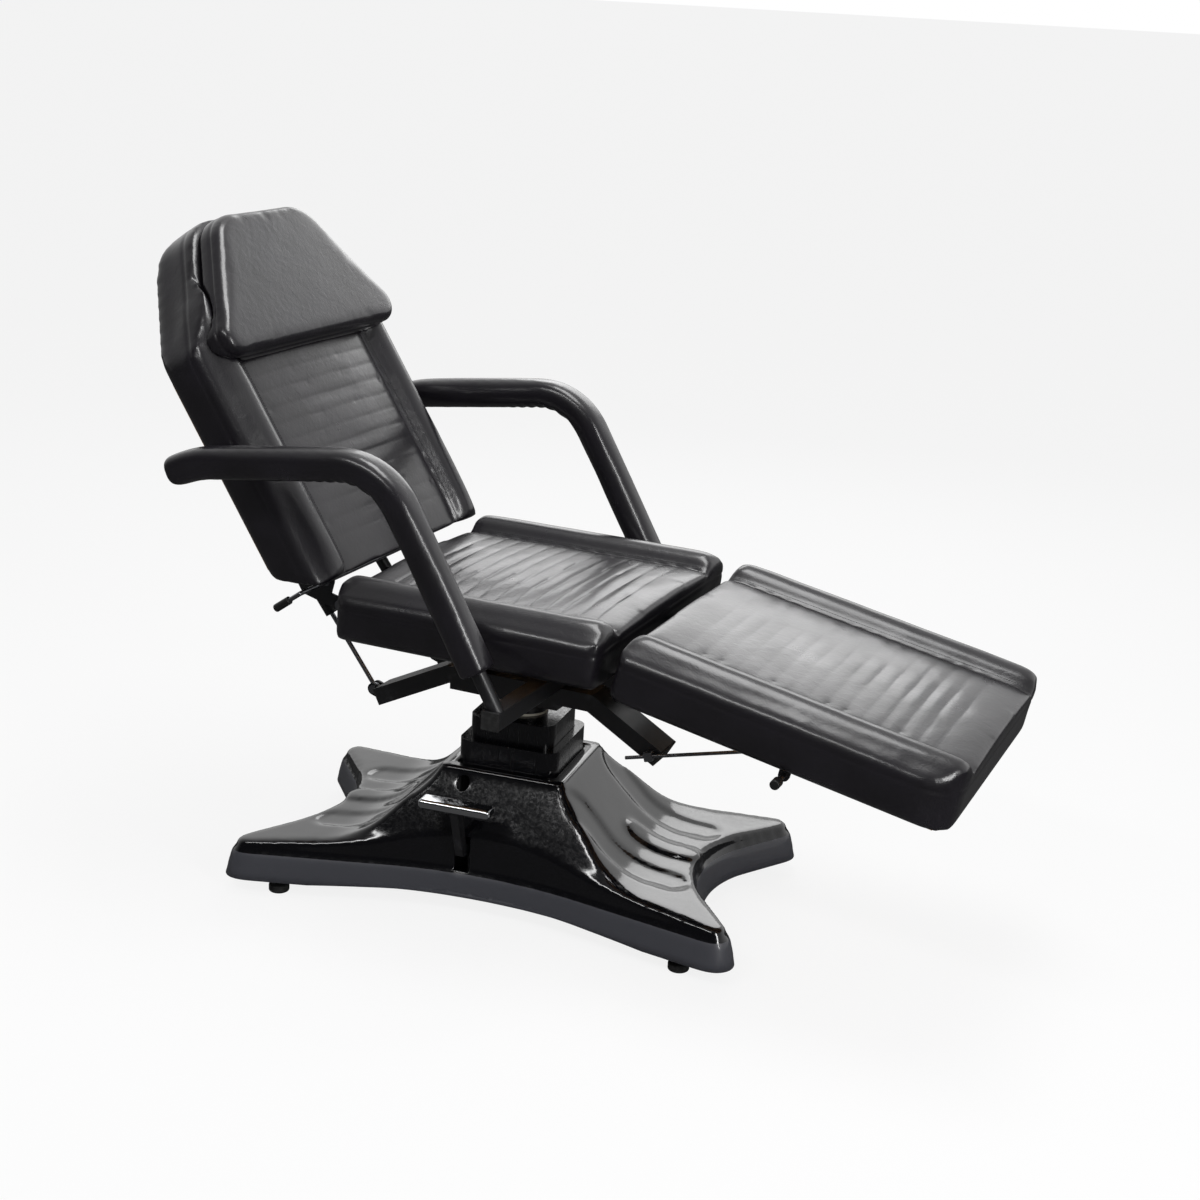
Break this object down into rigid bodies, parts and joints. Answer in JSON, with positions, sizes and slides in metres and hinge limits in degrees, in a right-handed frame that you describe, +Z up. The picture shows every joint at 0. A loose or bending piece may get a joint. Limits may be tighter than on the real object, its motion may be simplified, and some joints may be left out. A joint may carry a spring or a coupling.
{
  "type": "tattoo chair",
  "caption": "Reclining tattoo chair with tilting back and leg rest, two armrests, pillow, and a foot-pumped column on a moulded X-shaped base.",
  "frame": {"origin": "the axis of the hydraulic column, on the floor that the four feet rest on", "axes": "+X towards the foot end of the chair, +Y to the sitter's left, +Z up"},
  "size_m": [1.503, 0.772, 1.137],
  "materials": {
    "black_leather": "satin upholstery leather",
    "gloss_cover": "glossy moulded black",
    "black_paint": "satin black powder coat",
    "chrome": "bright plated",
    "zinc": "zinc plated steel",
    "steel": "ground steel",
    "black_rubber": "matte",
    "board": "plywood",
    "tape": "woven hook tape",
    "black_knob": "matte grip",
    "washer": "natural nylon"
  },
  "bodies": {
    "base": {"base_cover": "gloss_cover", "base_plate": "black_paint", "base_arms": "black_paint", "levelling_feet": "black_rubber", "foot_nuts": "zinc", "pump_cylinder": "black_paint", "cylinder_gland": "zinc", "pump_ears": "black_paint", "pedal_shaft": "zinc", "pump_barrel": "black_paint"},
    "pedal": {"pedal_arm": "black_paint", "pedal_bar": "chrome"},
    "lift": {"ram": "chrome", "sleeve_top": "gloss_cover", "thrust_washer": "washer"},
    "sleeve_mid": {"sleeve_middle": "gloss_cover"},
    "seat": {"swivel_hub": "black_paint", "swivel_plate": "black_paint", "plate_bolts": "zinc", "rail_right": "black_paint", "rail_left": "black_paint", "frame_caps": "black_rubber", "seat_side_tubes": "black_paint", "seat_cross_tubes": "black_paint", "arm_bearer": "black_paint", "rear_bearer": "black_paint", "hinge_ears": "black_paint", "hinge_pins": "zinc", "rail_lugs": "black_paint", "rail_pins": "zinc", "lock_pins": "zinc", "armrest_right": "black_leather", "armrest_left": "black_leather", "arm_tube_right": "black_paint", "arm_tube_left": "black_paint", "seat_board": "board", "seat_cushion": "black_leather"},
    "back": {"back_side_tubes": "black_paint", "back_cross_tubes": "black_paint", "back_ears": "black_paint", "back_spring_lugs": "black_paint", "back_board": "board", "back_cushion": "black_leather", "pillow": "black_leather", "pillow_tape": "tape"},
    "back_lever": {"back_lever": "zinc", "back_lever_grip": "black_knob"},
    "back_rods": {"back_spring_rods": "steel"},
    "back_cylinders": {"back_spring_cylinders": "black_paint"},
    "leg": {"leg_side_tubes": "black_paint", "leg_cross_tubes": "black_paint", "leg_ears": "black_paint", "leg_lock_lugs": "black_paint", "leg_board": "board", "leg_cushion": "black_leather", "release_guides": "black_paint"},
    "leg_release": {"release_shaft": "zinc", "release_knob": "black_knob"},
    "lock_blocks": {"lock_blocks": "zinc"},
    "lock_rods": {"lock_rods": "zinc"}
  },
  "joints": [
    {"name": "lift", "type": "slide", "parent": "base", "child": "lift", "axis": [0, 0, 1], "range_m": [0, 0.18]},
    {"name": "sleeve_stage", "type": "slide", "parent": "base", "child": "sleeve_mid", "axis": [0, 0, 1], "range_m": [0, 0.09]},
    {"name": "swivel", "type": "hinge", "parent": "lift", "child": "seat", "pos_m": [0, 0, 0.329], "axis": [0, 0, 1], "continuous": true},
    {"name": "back_recline", "type": "hinge", "parent": "seat", "child": "back", "pos_m": [-0.27, 0, 0.512], "axis": [0, -1, 0], "range_deg": [-4, 57]},
    {"name": "back_rod_tilt", "type": "hinge", "parent": "seat", "child": "back_rods", "pos_m": [-0.236, 0, 0.35], "axis": [0, 1, 0], "range_deg": [-29.37, 2.53]},
    {"name": "back_cylinder_slide", "type": "slide", "parent": "back_rods", "child": "back_cylinders", "axis": [-0.604, 0, 0.797], "range_m": [-0.09965, 0.00792]},
    {"name": "leg_drop", "type": "hinge", "parent": "seat", "child": "leg", "pos_m": [0.258, 0, 0.47], "axis": [0, 1, 0], "range_deg": [-11, 34]},
    {"name": "lock_block_tilt", "type": "hinge", "parent": "seat", "child": "lock_blocks", "pos_m": [0.298, 0, 0.3482], "axis": [0, 1, 0], "range_deg": [-13.42, 40.44]},
    {"name": "lock_rod_slide", "type": "slide", "parent": "lock_blocks", "child": "lock_rods", "axis": [0.9667, 0, 0.2561], "range_m": [-0.07123, 0.02372]},
    {"name": "back_release", "type": "hinge", "parent": "back", "child": "back_lever", "pos_m": [-0.29662, 0, 0.54997], "axis": [0, 1, 0], "range_deg": [0, 20], "stiffness_Nm_per_rad": 2, "springref_deg": -20.05},
    {"name": "leg_release", "type": "slide", "parent": "leg", "child": "leg_release", "axis": [0, -1, 0], "range_m": [0, 0.01], "stiffness_N_per_m": 400, "springref_m": -0.01},
    {"name": "pedal", "type": "hinge", "parent": "base", "child": "pedal", "pos_m": [-0.03435, -0.07839, 0.105], "axis": [0.9936, 0.1132, 0], "range_deg": [0, 14], "stiffness_Nm_per_rad": 12, "springref_deg": -22.92}
  ],
  "couplings": [
    {"joint": "sleeve_stage", "follows": "lift", "ratio": 0.5},
    {"joint": "back_rod_tilt", "follows": "back_recline", "ratio": -0.50655},
    {"joint": "back_cylinder_slide", "follows": "back_recline", "m_per_rad": -0.099166},
    {"joint": "lock_block_tilt", "follows": "leg_drop", "ratio": 1.1747},
    {"joint": "lock_rod_slide", "follows": "leg_drop", "m_per_rad": -0.11834}
  ]
}
